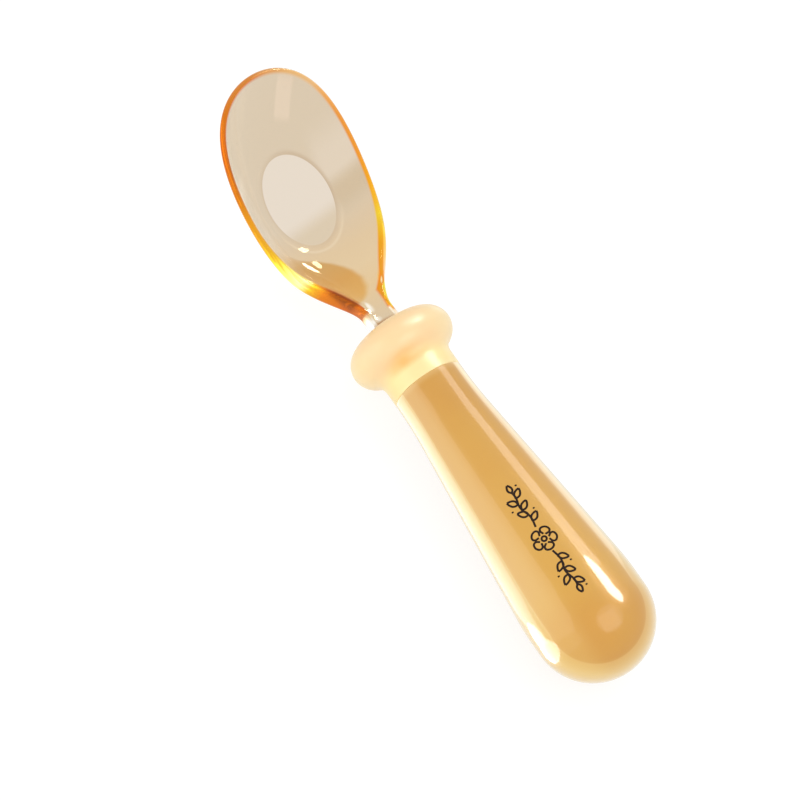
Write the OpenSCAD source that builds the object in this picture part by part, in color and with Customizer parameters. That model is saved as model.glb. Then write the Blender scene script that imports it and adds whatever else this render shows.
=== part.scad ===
// Baby spoon with a short fat grip: a clear moulded bowl and stem, whose tang runs back into the
// grip, a soft guard ring, and a hard glossy skin over a moulded core.
// The sub-parts are drawn along the handle's own line: X from the butt to the bowl's tip, Z up
// out of the bowl. The whole spoon is then laid on the table, on its butt and its guard ring.

/* [Grip] */
// Length of the grip, from the round butt to the guard ring
grip_l = 70.7; // [60:0.5:90]
// Diameter of the grip at its butt
butt_d = 24.8; // [21:0.2:27]
// Length of the straight stretch before the grip begins to taper
belly_l = 3; // [1:0.5:6]
// Length of the curve from the straight stretch into the taper
belly_curve_l = 6.1; // [4:0.5:10]
// Diameter of the grip where it meets the guard ring
throat_d = 15.1; // [13.5:0.1:17]
// Length of the curve out of the taper before the guard ring
throat_curve_l = 10.1; // [6:0.5:14]
// Wall of the grip's outer skin
sleeve_t = 1.6; // [1.2:0.1:2]

/* [Guard ring] */
// Length of the guard ring, skirt and bead together
collar_l = 13.7; // [13:0.1:17]
// Outer diameter of the bead
bead_d = 22.4; // [20:0.2:26]
// Thickness of the bead along the handle
bead_t = 8.2; // [7:0.1:9]
// Radius of the hollow curve between skirt and bead
collar_fillet = 3; // [2:0.1:3.5]
// Depth of the shallow dish in the bead's front
dish_depth = 0.8; // [0.4:0.1:1.5]
// Radius of the snap rib that holds the guard ring on the core
rib_r = 0.6; // [0.4:0.1:0.8]
// Distance from the end of the skirt to the snap rib
rib_from_skirt = 4; // [3:0.1:5]

/* [Bowl] */
// Length of the bowl over its rim
bowl_l = 48.3; // [44:0.5:54]
// Width of the bowl over its rim
bowl_w = 29.2; // [26:0.2:34]
// Rise of the rim, in degrees from the handle's line
bowl_tilt = 21.8; // [16:0.2:25]
// Rise of the rim at the bowl's two ends
rim_rise = 1.9; // [1:0.1:2.5]
// Height of the rim's middle over the handle's line
bowl_lift = 4.7; // [4:0.1:6]
// Depth of the floor's middle below the rim's middle
bowl_depth = 4.3; // [4:0.1:5.5]
// Thickness of the rim
rim_t = 1.3; // [1:0.1:1.8]
// Lean of the rim's wall, in degrees from level
rim_lean = 40; // [30:1:50]
// Length of the flat oval on the floor
floor_l = 19.4; // [16:0.2:22]
// Width of the flat oval on the floor
floor_w = 14.4; // [12:0.2:17]
// Rise of the flat oval, in degrees from the handle's line
floor_tilt = 16; // [12:0.5:18]
// Thickness of the floor
floor_t = 1.8; // [1.4:0.1:2.2]
// How far the flat foot below stands out past the flat oval, all round
foot_margin = 0.3; // [0:0.1:0.6]

/* [Neck and stem] */
// Gap between the guard ring and the near end of the bowl's oval
neck_l = 10.5; // [9:0.1:14]
// Length of the stem in front of the guard ring before it flares
bare_l = 4.8; // [4:0.1:6]
// Dip of the stem over that length
bare_dip = 0.17; // [0:0.01:0.4]
// Width of the stem
stem_w = 6.5; // [5.5:0.1:7.5]
// Thickness of the stem
stem_t = 3.4; // [3:0.1:4]
// Radius of the stem's long edges
stem_edge = 0.8; // [0.5:0.1:1]
// Reach of the bowl's own curve into the flare
rim_pull = 5.9; // [4:0.1:7]
// Reach of the stem's own line into the flare
stem_pull = 3.1; // [2:0.1:4]

/* [Tang] */
// Length of the tang inside the grip and the guard ring
tang_l = 55; // [45:1:60]
// Width of the tang
tang_w = 5.4; // [4.6:0.1:5.4]
// Thickness of the tang
tang_t = 2.6; // [2:0.1:2.8]
// Diameter of the two holes that lock the tang in the core
lock_d = 3; // [2:0.1:3.2]
// Distance between the two lock holes
lock_pitch = 20; // [14:1:24]
// Distance from the tang's end to the first lock hole
lock_end = 10; // [6:1:14]
// Length of the core's boss inside the guard ring
boss_l = 8; // [6.5:0.1:8.5]

/* [Fits] */
// Gap left round each piece that sits inside another
fit_gap = 0.05; // [0.02:0.01:0.1]

/* [Hidden] */
// Shares that shape the bowl's outline and the dish's wall
full_share = 0.069;
square_share = 0.21;
crease_share = 0.35;
dish_power = 2.3;
// Largest radius of the edge, as a share of its thickness, which leaves a narrow flat between
round_share = 0.45;
// Angles round the bowl, from the tip: the rim begins to thicken, the dish turns into the neck,
// the outline leaves the oval, and the rim has the stem's thickness
thick_from = 95;
neck_from = 125;
flare_from = 130;
thick_to = 165;
quarter_turn = 90;
half_turn = 180;
// Steps in the shapes
egg_steps = 26;
flare_steps = 10;
side_steps = 3;
end_steps = 3;
dish_steps = 11;
edge_steps = 4;
curve_steps = 16;
// Overrun of every cut, and depth to which joined solids run into each other
over = 1;
$fn = 96;

// Grip
butt_r = butt_d / 2;
throat_r = throat_d / 2;
taper_l = grip_l - butt_r - belly_l - belly_curve_l - throat_curve_l;
taper_slope = (butt_r - throat_r) / (belly_curve_l / 2 + taper_l + throat_curve_l / 2);
x_belly = butt_r + belly_l;
x_taper = x_belly + belly_curve_l;
x_throat = grip_l - throat_curve_l;

// Guard ring
bead_r = bead_t / 2;
ring_r = bead_d / 2 - bead_r;
x_front = grip_l + collar_l;
x_bead = x_front - bead_r;
x_boss = grip_l + boss_l;
fillet_r = throat_r + collar_fillet;
x_fillet = x_bead - sqrt(pow(bead_r + collar_fillet, 2) - pow(fillet_r - ring_r, 2));
boss_r = throat_r - sleeve_t - fit_gap;

// Bowl
half_l = bowl_l / 2;
half_w = bowl_w / 2;
x_bowl = x_front + neck_l + half_l * cos(bowl_tilt);
z_floor = bowl_lift - bowl_depth;
floor_up = [-sin(floor_tilt), 0, cos(floor_tilt)];
floor_mid = [x_bowl, 0, z_floor];
foot_mid = floor_mid - floor_t * floor_up;
x_bare = x_front + bare_l;

// The table touches the butt and the bead: the handle's line dips by this angle
tube_dx = x_bead - butt_r;
rest_tilt = asin((butt_r - bead_r) / norm([tube_dx, ring_r])) - atan2(ring_r, tube_dx);
low_z = -butt_r * sin(rest_tilt) - butt_r;
butt_x = butt_r * cos(rest_tilt) - butt_r;

function ease(t) = let (c = min(max(t, 0), 1)) c * c * (3 - 2 * c);
function mix(a, b, t) = a + (b - a) * t;
function flat(v) = [v.x, v.y, 0];
function unit(v) = v / norm(v);
function arc(mid, r, from, to) = [for (i = [0:curve_steps])
    let (a = mix(from, to, i / curve_steps)) mid + r * [cos(a), sin(a)]];

// The bowl's rim, as the line of its outermost points, at an angle from the tip
function egg(a) =
    let (c = cos(a), s = sin(a), along = half_l * c)
    [x_bowl + along * cos(bowl_tilt),
     half_w * s * (1 + full_share * c + square_share * c * c),
     bowl_lift + along * sin(bowl_tilt) + rim_rise * c * c];
function egg_way(a) = unit_flat(egg(a + 1) - egg(a - 1));
function unit_flat(v) = v / norm(flat(v));

// The flare from the bowl's rim into the stem's side
bare_slope = -2 * bare_dip / bare_l;
flare = [egg(flare_from),
         egg(flare_from) + rim_pull * egg_way(flare_from),
         [x_bare + stem_pull, stem_w / 2, -bare_dip + stem_pull * bare_slope],
         [x_bare, stem_w / 2, -bare_dip]];
function flare_at(u) =
    pow(1 - u, 3) * flare[0] + 3 * pow(1 - u, 2) * u * flare[1]
    + 3 * (1 - u) * u * u * flare[2] + pow(u, 3) * flare[3];
function flare_way(u) =
    pow(1 - u, 2) * (flare[1] - flare[0]) + 2 * (1 - u) * u * (flare[2] - flare[1])
    + u * u * (flare[3] - flare[2]);
function side_z(x) = -bare_dip * pow(max(x - x_front, 0) / bare_l, 2);

// One entry for each direction on the +Y side: its place on the edge, the edge's way, its angle
egg_dirs = [for (i = [0:egg_steps])
    let (a = flare_from * i / egg_steps) [egg(a), egg_way(a), a]];
flare_dirs = [for (i = [1:flare_steps])
    let (u = i / flare_steps) [flare_at(u), flare_way(u), mix(flare_from, half_turn, u)]];
side_dirs = [for (i = [1:side_steps])
    let (x = mix(x_bare, x_boss, i / side_steps))
    [[x, stem_w / 2, side_z(x)], [-1, 0, 0], half_turn]];
edge_dirs = concat(egg_dirs, flare_dirs, side_dirs);

function neck(a) = ease((a - neck_from) / (half_turn - neck_from));
function thick(a) = mix(rim_t, stem_t, ease((a - thick_from) / (thick_to - thick_from)));

// The rounded edge of the sheet: a quarter round at the top, a flat side, a quarter round below
function edge_round(d) =
    let (t = thick(d[2]), r = min(t * round_share, stem_edge), lean = rim_lean * (1 - neck(d[2])),
         out = unit([d[1].y, -d[1].x, 0]), up = [0, 0, 1],
         half_side = t / 2 - r,
         mid = d[0] - out * (half_side * sin(lean) + r),
         side = half_side * (cos(lean) * up - sin(lean) * out))
    [for (part = [0, 1], i = [0:edge_steps])
        let (a = lean + quarter_turn * (1 - part - i / edge_steps))
        mid + (1 - 2 * part) * side + r * (cos(a) * out + sin(a) * up)];

// A point of a tilted oval, in the direction of a ray from its middle
function oval_at(mid, l, w, ray) =
    let (a = atan2(ray.y / w, ray.x / l))
    mid + [l / 2 * cos(a) * cos(floor_tilt), w / 2 * sin(a), l / 2 * cos(a) * sin(floor_tilt)];

// The sheet's face along one direction, from the oval to a point on the edge. In the bowl it is a
// wall that steepens towards the rim. In the neck it is a trough: its middle runs from the stem's
// face down to the oval, and its sides rise to the two lips. side is 1 for the top face and -1
// for the underside
function wall(v, whole) =
    let (up = [-sin(bowl_tilt), 0, cos(bowl_tilt)], rise = (whole * up) * up)
    v * (whole - rise) + mix(v, pow(v, dish_power), 1 - crease_share) * rise;
edges = [for (d = edge_dirs) edge_round(d)];
n_edge = len(edges[0]);
function lip_table(j, axis) = [for (i = [len(edges) - 1:-1:0]) [edges[i][j].x, edges[i][j][axis]]];
lips = [for (j = [n_edge - 1, 0]) [lip_table(j, 1), lip_table(j, 2)]];
function trough_z(q, near, side) =
    let (lip = lips[(side + 1) / 2],
         middle = mix(near.z, side_z(q.x) + side * stem_t / 2,
                      ease((near.x - q.x) / (near.x - x_front))))
    mix(middle, lookup(q.x, lip[1]), pow(abs(q.y) / lookup(q.x, lip[0]), dish_power));
function dish(to, mid, l, w, a, side) =
    let (from = oval_at(mid, l, w, to - mid), near = oval_at(mid, l, w, [-1, 0, 0]),
         drop = from.z - trough_z(from, near, side), miss = to.z - trough_z(to, near, side))
    [for (i = [0:dish_steps])
        let (v = i / dish_steps, q = mix(from, to, v), in_bowl = from + wall(v, to - from),
             in_neck = [q.x, q.y, trough_z(q, near, side) + mix(drop, miss, v)])
        neck(a) > 0 ? mix(in_bowl, in_neck, neck(a)) : in_bowl];

// One column of points over the top face, round the edge and back along the underside
function column(edge, a) = concat(
    dish(edge[0], floor_mid, floor_l, floor_w, a, 1),
    [for (i = [1:n_edge - 2]) edge[i]],
    [for (q = [dish(edge[n_edge - 1], foot_mid, floor_l + 2 * foot_margin,
                    floor_w + 2 * foot_margin, a, -1)], i = [dish_steps:-1:0]) q[i]]);
flat_half_w = stem_w / 2 - stem_edge;
function end_edge(y) = [for (i = [0:n_edge - 1])
    [x_boss, y, mix(stem_t, -stem_t, i / (n_edge - 1)) / 2]];
half_columns = concat(
    [for (i = [0:len(edges) - 1]) column(edges[i], edge_dirs[i][2])],
    [for (i = [1:end_steps]) column(end_edge(mix(flat_half_w, 0, i / end_steps)), half_turn)]);
n_half = len(half_columns);
columns = concat(half_columns,
    [for (i = [n_half - 2:-1:1]) [for (p = half_columns[i]) [p.x, -p.y, p.z]]]);
n_col = len(columns);
n_row = len(columns[0]);
head_points = concat([for (c = columns, p = c) p], [floor_mid, foot_mid]);
tip_x = max([for (p = head_points) p.x * cos(rest_tilt) + p.z * sin(rest_tilt)]);
mid_x = (butt_x + tip_x) / 2;
function at(i, j) = (i % n_col) * n_row + j;
head_faces = concat(
    [for (i = [0:n_half - 2], j = [0:n_row - 2], half = [0, 1])
        half == 0 ? [at(i, j), at(i + 1, j), at(i, j + 1)]
                  : [at(i + 1, j), at(i + 1, j + 1), at(i, j + 1)]],
    [for (i = [n_half - 1:n_col - 1], j = [0:n_row - 2], half = [0, 1])
        half == 0 ? [at(i, j), at(i + 1, j + 1), at(i, j + 1)]
                  : [at(i, j), at(i + 1, j), at(i + 1, j + 1)]],
    [for (i = [0:n_col - 1]) [n_col * n_row, at(i + 1, 0), at(i, 0)]],
    [for (i = [0:n_col - 1]) [n_col * n_row + 1, at(i, n_row - 1), at(i + 1, n_row - 1)]]);

// Lays what is drawn along the handle's line on the table
module on_table() {
    translate([-mid_x, 0, -low_z]) rotate([0, rest_tilt, 0]) children();
}

// Turns a profile, drawn as place along the handle against radius, round the handle's line
module turned() {
    rotate([0, quarter_turn, 0]) rotate_extrude() mirror([1, -1]) children();
}

// The grip's solid at a depth below its surface, from the round butt to a flat front
function grip_radius(x) =
    x < x_belly ? butt_r
    : x < x_taper ? butt_r - taper_slope * pow(x - x_belly, 2) / (2 * belly_curve_l)
    : x < x_throat ? butt_r - taper_slope * (belly_curve_l / 2 + x - x_taper)
    : throat_r + taper_slope * pow(grip_l - x, 2) / (2 * throat_curve_l);
grip_stations = concat(
    [for (i = [0:curve_steps]) mix(x_belly, x_taper, i / curve_steps)],
    [for (i = [0:curve_steps]) mix(x_throat, grip_l, i / curve_steps)]);
module grip_form(depth, front) {
    turned() polygon(concat(
        arc([butt_r, 0], butt_r - depth, half_turn, quarter_turn),
        [for (x = grip_stations) [x, grip_radius(x) - depth]],
        [[front, throat_r - depth], [front, 0]]));
}

// A bar of the stem's or the tang's section, centred on the handle's line
module bar(from, to, w, t) {
    translate([from, -w / 2, -t / 2]) cube([to - from, w, t]);
}

// The two lock holes, or the pins of core that fill them
module locks(d, t) {
    for (x = [0, lock_pitch]) translate([x_boss - tang_l + lock_end + x, 0, -t / 2])
        cylinder(d = d, h = t);
}

module spoon_head() {
    color("burlywood", 0.6) on_table() {
        polyhedron(head_points, head_faces, convexity = 6);
        difference() {
            bar(x_boss - tang_l, x_boss + over, tang_w, tang_t);
            locks(lock_d, tang_t + 2 * over);
        }
    }
}

// The outline of the snap rib on the core's boss, or of its groove in the guard ring
module rib_outline(r) {
    mid = [grip_l + rib_from_skirt, boss_r];
    polygon(concat(arc(mid, r, half_turn, 0), [mid - [0, r]]));
}

// The guard ring's outline: skirt, hollow curve, bead and the shallow dish in its front
module collar_outline() {
    meet = atan2(fillet_r - ring_r, x_fillet - x_bead);
    x_dish = x_front - dish_depth;
    polygon(concat([[grip_l, 0], [grip_l, throat_r]],
        arc([x_fillet, fillet_r], collar_fillet, -quarter_turn, meet - half_turn),
        arc([x_bead, ring_r], bead_r, meet, -acos((x_dish - x_bead) / bead_r)),
        [[x_dish, 0]]));
}

module guard_collar() {
    color("moccasin") on_table() difference() {
        turned() collar_outline();
        turned() {
            translate([grip_l - over, 0]) square([boss_l + over, boss_r + fit_gap]);
            rib_outline(rib_r + fit_gap);
        }
        bar(x_boss - over, x_front + over, stem_w + 2 * fit_gap, stem_t + 2 * fit_gap);
    }
}

module grip_core() {
    color("wheat") on_table() {
        difference() {
            union() {
                grip_form(sleeve_t + fit_gap, x_boss);
                turned() rib_outline(rib_r);
            }
            bar(x_boss - tang_l - fit_gap, x_boss + over, tang_w + 2 * fit_gap,
                tang_t + 2 * fit_gap);
        }
        locks(lock_d - 2 * fit_gap, tang_t + 2 * over);
    }
}

module grip_sleeve() {
    color("peru") on_table() difference() {
        grip_form(0, grip_l);
        grip_form(sleeve_t, grip_l + over);
    }
}

spoon_head();
guard_collar();
grip_core();
grip_sleeve();
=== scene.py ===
"""A child's training spoon: clear amber head, soft cream guard ring and glossy caramel grip."""
import math

import bmesh
import bpy
from mathutils import Matrix, Vector


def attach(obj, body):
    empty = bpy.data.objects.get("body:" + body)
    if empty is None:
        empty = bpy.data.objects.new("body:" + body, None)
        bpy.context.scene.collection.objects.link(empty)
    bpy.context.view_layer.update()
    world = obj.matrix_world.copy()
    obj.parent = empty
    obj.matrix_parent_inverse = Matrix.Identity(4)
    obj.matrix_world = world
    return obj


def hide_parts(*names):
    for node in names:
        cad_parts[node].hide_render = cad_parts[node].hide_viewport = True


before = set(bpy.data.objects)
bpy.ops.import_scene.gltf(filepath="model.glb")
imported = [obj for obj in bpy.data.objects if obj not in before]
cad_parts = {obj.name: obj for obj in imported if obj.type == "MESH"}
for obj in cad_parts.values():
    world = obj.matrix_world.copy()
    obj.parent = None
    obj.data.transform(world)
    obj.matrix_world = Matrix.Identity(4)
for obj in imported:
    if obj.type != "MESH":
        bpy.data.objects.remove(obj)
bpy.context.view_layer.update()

# Everything is drawn in millimetres along the handle's own line, as in the part's source: X from
# the butt to the bowl's tip, Z up out of the bowl. LAY then puts it on the table, in metres.
MM = 0.001
REST_SHIFT = (-0.0699967, 0, 0.0126193)
REST_TILT = math.radians(1.01358)
LAY = (Matrix.Translation(REST_SHIFT)
       @ Matrix.Rotation(REST_TILT, 4, "Y") @ Matrix.Scale(MM, 4))

# grip
GRIP_L, BUTT_R, THROAT_R, SLEEVE_T = 70.7, 12.4, 7.55, 1.6
BELLY_L, BELLY_CURVE_L, THROAT_CURVE_L = 3.0, 6.1, 10.1
SLEEVE_LIP_R = 0.15
# guard ring and the core's boss inside it
COLLAR_L, BEAD_R, RING_R, COLLAR_FILLET, DISH_DEPTH = 13.7, 4.1, 7.1, 3.0, 0.8
DISH_FLAT_R, SKIRT_LIP_R = 3.6, 0.2
BOSS_L, SLOT_L, FIT_GAP = 8.0, 8.0, 0.05
# stem, and the tang behind it with its two holes
STEM_W, STEM_T, STEM_EDGE = 6.5, 3.4, 0.8
TANG_L, TANG_T, LOCK_D, LOCK_PITCH, LOCK_END = 55.0, 2.6, 3.0, 20.0, 10.0
# bowl, its rim and the flat oval on its floor
BOWL_L, BOWL_W, BOWL_TILT, RIM_RISE, BOWL_LIFT, BOWL_DEPTH = 48.3, 29.2, 21.8, 1.9, 4.7, 4.3
RIM_T, RIM_LEAN, ROUND_SHARE = 1.3, 40.0, 0.45
FLOOR_L, FLOOR_W, FLOOR_TILT, FLOOR_T, FOOT_MARGIN = 19.4, 14.4, 16.0, 1.8, 0.3
FULL_SHARE, SQUARE_SHARE, CREASE_SHARE, DISH_POWER = 0.069, 0.21, 0.35, 2.3
# neck, and the angles round the bowl at which the sheet thickens and the neck begins
NECK_L, BARE_L, BARE_DIP, RIM_PULL, STEM_PULL = 10.5, 4.8, 0.17, 5.9, 3.1
THICK_FROM, NECK_FROM, FLARE_FROM, THICK_TO = 95.0, 125.0, 130.0, 165.0

X_FRONT = GRIP_L + COLLAR_L
X_BEAD = X_FRONT - BEAD_R
X_BOSS = GRIP_L + BOSS_L
X_BARE = X_FRONT + BARE_L
X_BOWL = X_FRONT + NECK_L + BOWL_L / 2 * math.cos(math.radians(BOWL_TILT))
FLOOR_UP = Vector((-math.sin(math.radians(FLOOR_TILT)), 0, math.cos(math.radians(FLOOR_TILT))))
FLOOR_MID = Vector((X_BOWL, 0, BOWL_LIFT - BOWL_DEPTH))
FOOT_MID = FLOOR_MID - FLOOR_T * FLOOR_UP


# ---------------------------------------------------------------- camera
# The photograph looks down on the spoon from its left, a little from the butt's end, and the
# spoon leans 35 degrees to the left in the picture. One millimetre is 5.1 pixels of 800.
SIDE, TURN, LEAN = math.radians(28), math.radians(17), math.radians(35)
PIXELS_A_MM, FRAME_PIXELS, LENS, SENSOR = 5.1, 800, 500, 36
# the point BUTT_X lies this many pixels right of the picture's middle, and below it
BUTT_X, BUTT_RIGHT, BUTT_BELOW = 1.1, 223.2, 263.6
FOCUS_X = 60
TO_CAMERA = Vector((-math.sin(TURN), math.sin(SIDE) * math.cos(TURN),
                    math.cos(SIDE) * math.cos(TURN)))
ALONG = Vector((math.cos(TURN), math.sin(TURN) * math.sin(SIDE), math.sin(TURN) * math.cos(SIDE)))
ACROSS = Vector((0, -math.cos(SIDE), math.sin(SIDE)))
RIGHT = -math.sin(LEAN) * ALONG + math.cos(LEAN) * ACROSS
UP = math.cos(LEAN) * ALONG + math.sin(LEAN) * ACROSS


def direction(v):
    """A direction of the handle's frame in the row's frame."""
    return (LAY.to_3x3() @ v).normalized()


def place(p):
    """A point of the handle's frame in the row's frame."""
    return LAY @ Vector(p)


def set_camera():
    middle = Vector((BUTT_X, 0, 0)) - (RIGHT * BUTT_RIGHT - UP * BUTT_BELOW) / PIXELS_A_MM
    middle += TO_CAMERA * (Vector((FOCUS_X, 0, 0)) - middle).dot(TO_CAMERA)
    distance = FRAME_PIXELS / PIXELS_A_MM * MM * LENS / SENSOR
    data = bpy.data.cameras.new("camera")
    data.lens, data.sensor_width = LENS, SENSOR
    data.clip_end = 20
    camera = bpy.data.objects.new("camera", data)
    bpy.context.scene.collection.objects.link(camera)
    turn = Matrix((direction(RIGHT), direction(UP), direction(TO_CAMERA))).transposed()
    camera.matrix_world = (Matrix.Translation(place(middle) + direction(TO_CAMERA) * distance)
                           @ turn.to_4x4())
    bpy.context.scene.camera = camera


# ---------------------------------------------------------------- modelling helpers
MERGE, POINT_R, ON_PLANE = 1e-4, 0.001, 0.001


def pick(*objs):
    """Selects these objects and nothing else, and makes the first one active."""
    bpy.ops.object.select_all(action="DESELECT")
    for obj in objs:
        obj.select_set(True)
    bpy.context.view_layer.objects.active = objs[0]


def begin_edit(obj):
    pick(obj)
    bpy.ops.object.mode_set(mode="EDIT")


def end_edit():
    bpy.ops.object.mode_set(mode="OBJECT")


def finish(obj, name, body="root", node=None):
    """Names a piece made along the handle, lays it in place and hands it to the frame."""
    obj.name = obj.data.name = name
    obj.data.transform(LAY)
    obj.data.update()
    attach(obj, body)
    if node:
        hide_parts(node)
    return obj


def outward():
    """Merges doubles and then turns all the faces outwards, in edit mode."""
    bpy.ops.mesh.select_all(action="SELECT")
    bpy.ops.mesh.remove_doubles(threshold=MERGE)
    bpy.ops.mesh.normals_make_consistent(inside=False)


def turned(outline, around=160):
    """Extrudes a circle along the handle, one station (place, radius) after another. The first
    and the last station may be a point on the handle's line."""
    before_x, before_r = outline[0][0], max(outline[0][1], POINT_R)
    bpy.ops.object.select_all(action="DESELECT")
    bpy.ops.mesh.primitive_circle_add(vertices=around, radius=before_r)
    ring = bpy.context.object
    ring.data.transform(Matrix.Translation((before_x, 0, 0))
                        @ Matrix.Rotation(math.pi / 2, 4, "Y"))
    begin_edit(ring)
    bpy.ops.mesh.select_mode(type="VERT")
    bpy.ops.mesh.select_all(action="SELECT")
    for x, r in outline[1:]:
        r = max(r, POINT_R)
        bpy.ops.mesh.extrude_edges_move(TRANSFORM_OT_translate={"value": (x - before_x, 0, 0)})
        bpy.ops.transform.resize(value=(1, r / before_r, r / before_r),
                                 center_override=(x, 0, 0))
        before_x, before_r = x, r
    for x, r in (outline[0], outline[-1]):
        if r == 0:
            bpy.ops.mesh.select_all(action="DESELECT")
            end_edit()
            for v in ring.data.vertices:
                v.select = abs(v.co.x - x) < MERGE and math.hypot(v.co.y, v.co.z) < 2 * POINT_R
            begin_edit(ring)
            bpy.ops.mesh.merge(type="CENTER")
    outward()
    end_edit()
    return ring


def arc(mid, r, start, end, steps):
    """Points on an arc, from one angle to another, in degrees."""
    angles = [math.radians(start + (end - start) * i / steps) for i in range(steps + 1)]
    return [(mid[0] + r * math.cos(a), mid[1] + r * math.sin(a)) for a in angles]


def smooth(obj, angle=30):
    pick(obj)
    bpy.ops.object.shade_smooth_by_angle(angle=math.radians(angle))


def rounded_bar(size, mid, edge):
    """A tool for a slot."""
    bpy.ops.object.select_all(action="DESELECT")
    bpy.ops.mesh.primitive_cube_add(size=1, location=mid)
    bar = bpy.context.object
    bar.data.transform(Matrix.Diagonal((*size, 1)))
    bevel = bar.modifiers.new("rounding", "BEVEL")
    bevel.width, bevel.segments = edge, 5
    return bar


def drill(diameter, length, mid):
    """A tool for a round hole through the thickness."""
    bpy.ops.object.select_all(action="DESELECT")
    bpy.ops.mesh.primitive_cylinder_add(vertices=48, radius=diameter / 2, depth=length,
                                        location=mid)
    return bpy.context.object


def cut(obj, tool):
    """Cuts the tool's shape out of a piece and throws the tool away."""
    less = obj.modifiers.new("hole", "BOOLEAN")
    less.object, less.operation, less.solver = tool, "DIFFERENCE", "EXACT"
    pick(obj)
    bpy.ops.object.modifier_apply(modifier=less.name)
    bpy.data.objects.remove(tool)


# ---------------------------------------------------------------- grip
def grip_radius(x):
    """The grip's radius past its round butt: belly, straight taper and throat."""
    slope = (BUTT_R - THROAT_R) / (BELLY_CURVE_L / 2 + THROAT_CURVE_L / 2
                                   + GRIP_L - BUTT_R - BELLY_L - BELLY_CURVE_L - THROAT_CURVE_L)
    x_belly = BUTT_R + BELLY_L
    x_taper, x_throat = x_belly + BELLY_CURVE_L, GRIP_L - THROAT_CURVE_L
    if x < x_belly:
        return BUTT_R
    if x < x_taper:
        return BUTT_R - slope * (x - x_belly) ** 2 / (2 * BELLY_CURVE_L)
    if x < x_throat:
        return BUTT_R - slope * (BELLY_CURVE_L / 2 + x - x_taper)
    return THROAT_R + slope * (GRIP_L - x) ** 2 / (2 * THROAT_CURVE_L)


def grip_line(depth, steps):
    """The grip's outline at a depth below its surface, from the butt's middle to the mouth."""
    butt = [(BUTT_R - (BUTT_R - depth) * math.cos(a), (BUTT_R - depth) * math.sin(a))
            for a in [math.pi / 2 * i / steps for i in range(steps)]]
    side = [BUTT_R + (GRIP_L - BUTT_R) * i / (2 * steps) for i in range(2 * steps + 1)]
    return butt + [(x, grip_radius(x) - depth) for x in side]


def make_sleeve():
    """The skin from the butt to its rolled edge, and back along the lining."""
    skin = grip_line(0, 40)
    x_lip = GRIP_L - SLEEVE_LIP_R
    skin[-1] = (x_lip, grip_radius(x_lip))
    skin += arc((x_lip, THROAT_R - SLEEVE_LIP_R), SLEEVE_LIP_R, 90, 0, 4)[1:]
    sleeve = turned(skin + grip_line(SLEEVE_T, 20)[::-1])
    smooth(sleeve)
    return finish(sleeve, "grip_skin", node="grip_sleeve")


# ---------------------------------------------------------------- print on the grip
PRINT_SIDE, PRINT_PROUD, LINE_W = math.radians(21.5), 0.035, 0.44
FLOWER_X, FLOWER_R, EYE_R, SPRIG_FROM = 28.3, 2.45, 0.5, 3.0
# knots along and across each line; a petal's are a share of its reach, and an angle
PETAL_KNOTS = ((0.42, -0.2), (0.8, -0.5), (1.0, -0.28), (1.0, 0.28), (0.8, 0.5), (0.42, 0.2))
STEM_KNOTS = ((0, 0), (2.4, 0.35), (5.0, -0.3), (7.6, 0.2), (8.6, 0.1))
# along, across and way of each leaf of a sprig, its end leaf, and its loose dots
LEAVES = ((1.4, 0.2, 52), (2.9, 0.3, -50), (4.4, -0.2, 50), (5.9, -0.2, -48), (7.2, 0.1, 46))
LEAF_L, END_LEAF_L = 2.3, 1.9
DOTS, DOT_L = ((3.6, 1.9), (5.2, -2.0), (9.6, 1.6)), 0.32


def line(points, closed=False):
    """A line of ink through points (along, across), as a tube still lying flat."""
    bpy.ops.object.select_all(action="DESELECT")
    bpy.ops.curve.primitive_bezier_curve_add()
    curve = bpy.context.object
    data = curve.data
    spline = data.splines[0]
    spline.bezier_points.add(len(points) - len(spline.bezier_points))
    for knot, (a, b) in zip(spline.bezier_points, points):
        knot.co = (a, b, 0)
        knot.handle_left_type = knot.handle_right_type = "AUTO"
    spline.use_cyclic_u = closed
    data.resolution_u, data.bevel_resolution = 6, 2
    data.bevel_depth, data.use_fill_caps = LINE_W / 2, True
    bpy.ops.object.convert(target="MESH")
    return bpy.context.object


def leaf(root, way, length):
    """Two bowed lines from a root to a tip."""
    a, (x, y) = math.radians(way), root
    along, across = Vector((math.cos(a), math.sin(a))), Vector((-math.sin(a), math.cos(a)))

    def at(u, v):
        p = Vector((x, y)) + length * (u * along + v * across)
        return p.x, p.y

    return [line([at(0, 0), at(0.35, side * 0.24), at(0.75, side * 0.17), at(1, 0)])
            for side in (1, -1)]


def flower(x, petals):
    """Open petals round a ring."""
    def round_x(r, a):
        return x + r * math.cos(a), r * math.sin(a)

    lines = [line([round_x(EYE_R, math.tau * i / 8) for i in range(8)], closed=True)]
    for i in range(petals):
        way = math.tau * (i + 0.5) / petals
        lines.append(line([round_x(FLOWER_R * u, way + v) for u, v in PETAL_KNOTS]))
    return lines


def sprig(x, way):
    """A waving stem with leaves on both sides and dots beside it, up (1) or down (-1) the grip."""
    lines = [line([(x + way * u, v) for u, v in STEM_KNOTS])]
    for u, v, lean in LEAVES:
        lines += leaf((x + way * u, v), lean if way > 0 else 180 - lean, LEAF_L)
    end_u, end_v = STEM_KNOTS[-1]
    lines += leaf((x + way * end_u, end_v), 0 if way > 0 else 180, END_LEAF_L)
    for u, v in DOTS:
        lines.append(line([(x + way * u + side * DOT_L / 2, v) for side in (-1, 1)]))
    return lines


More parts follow.
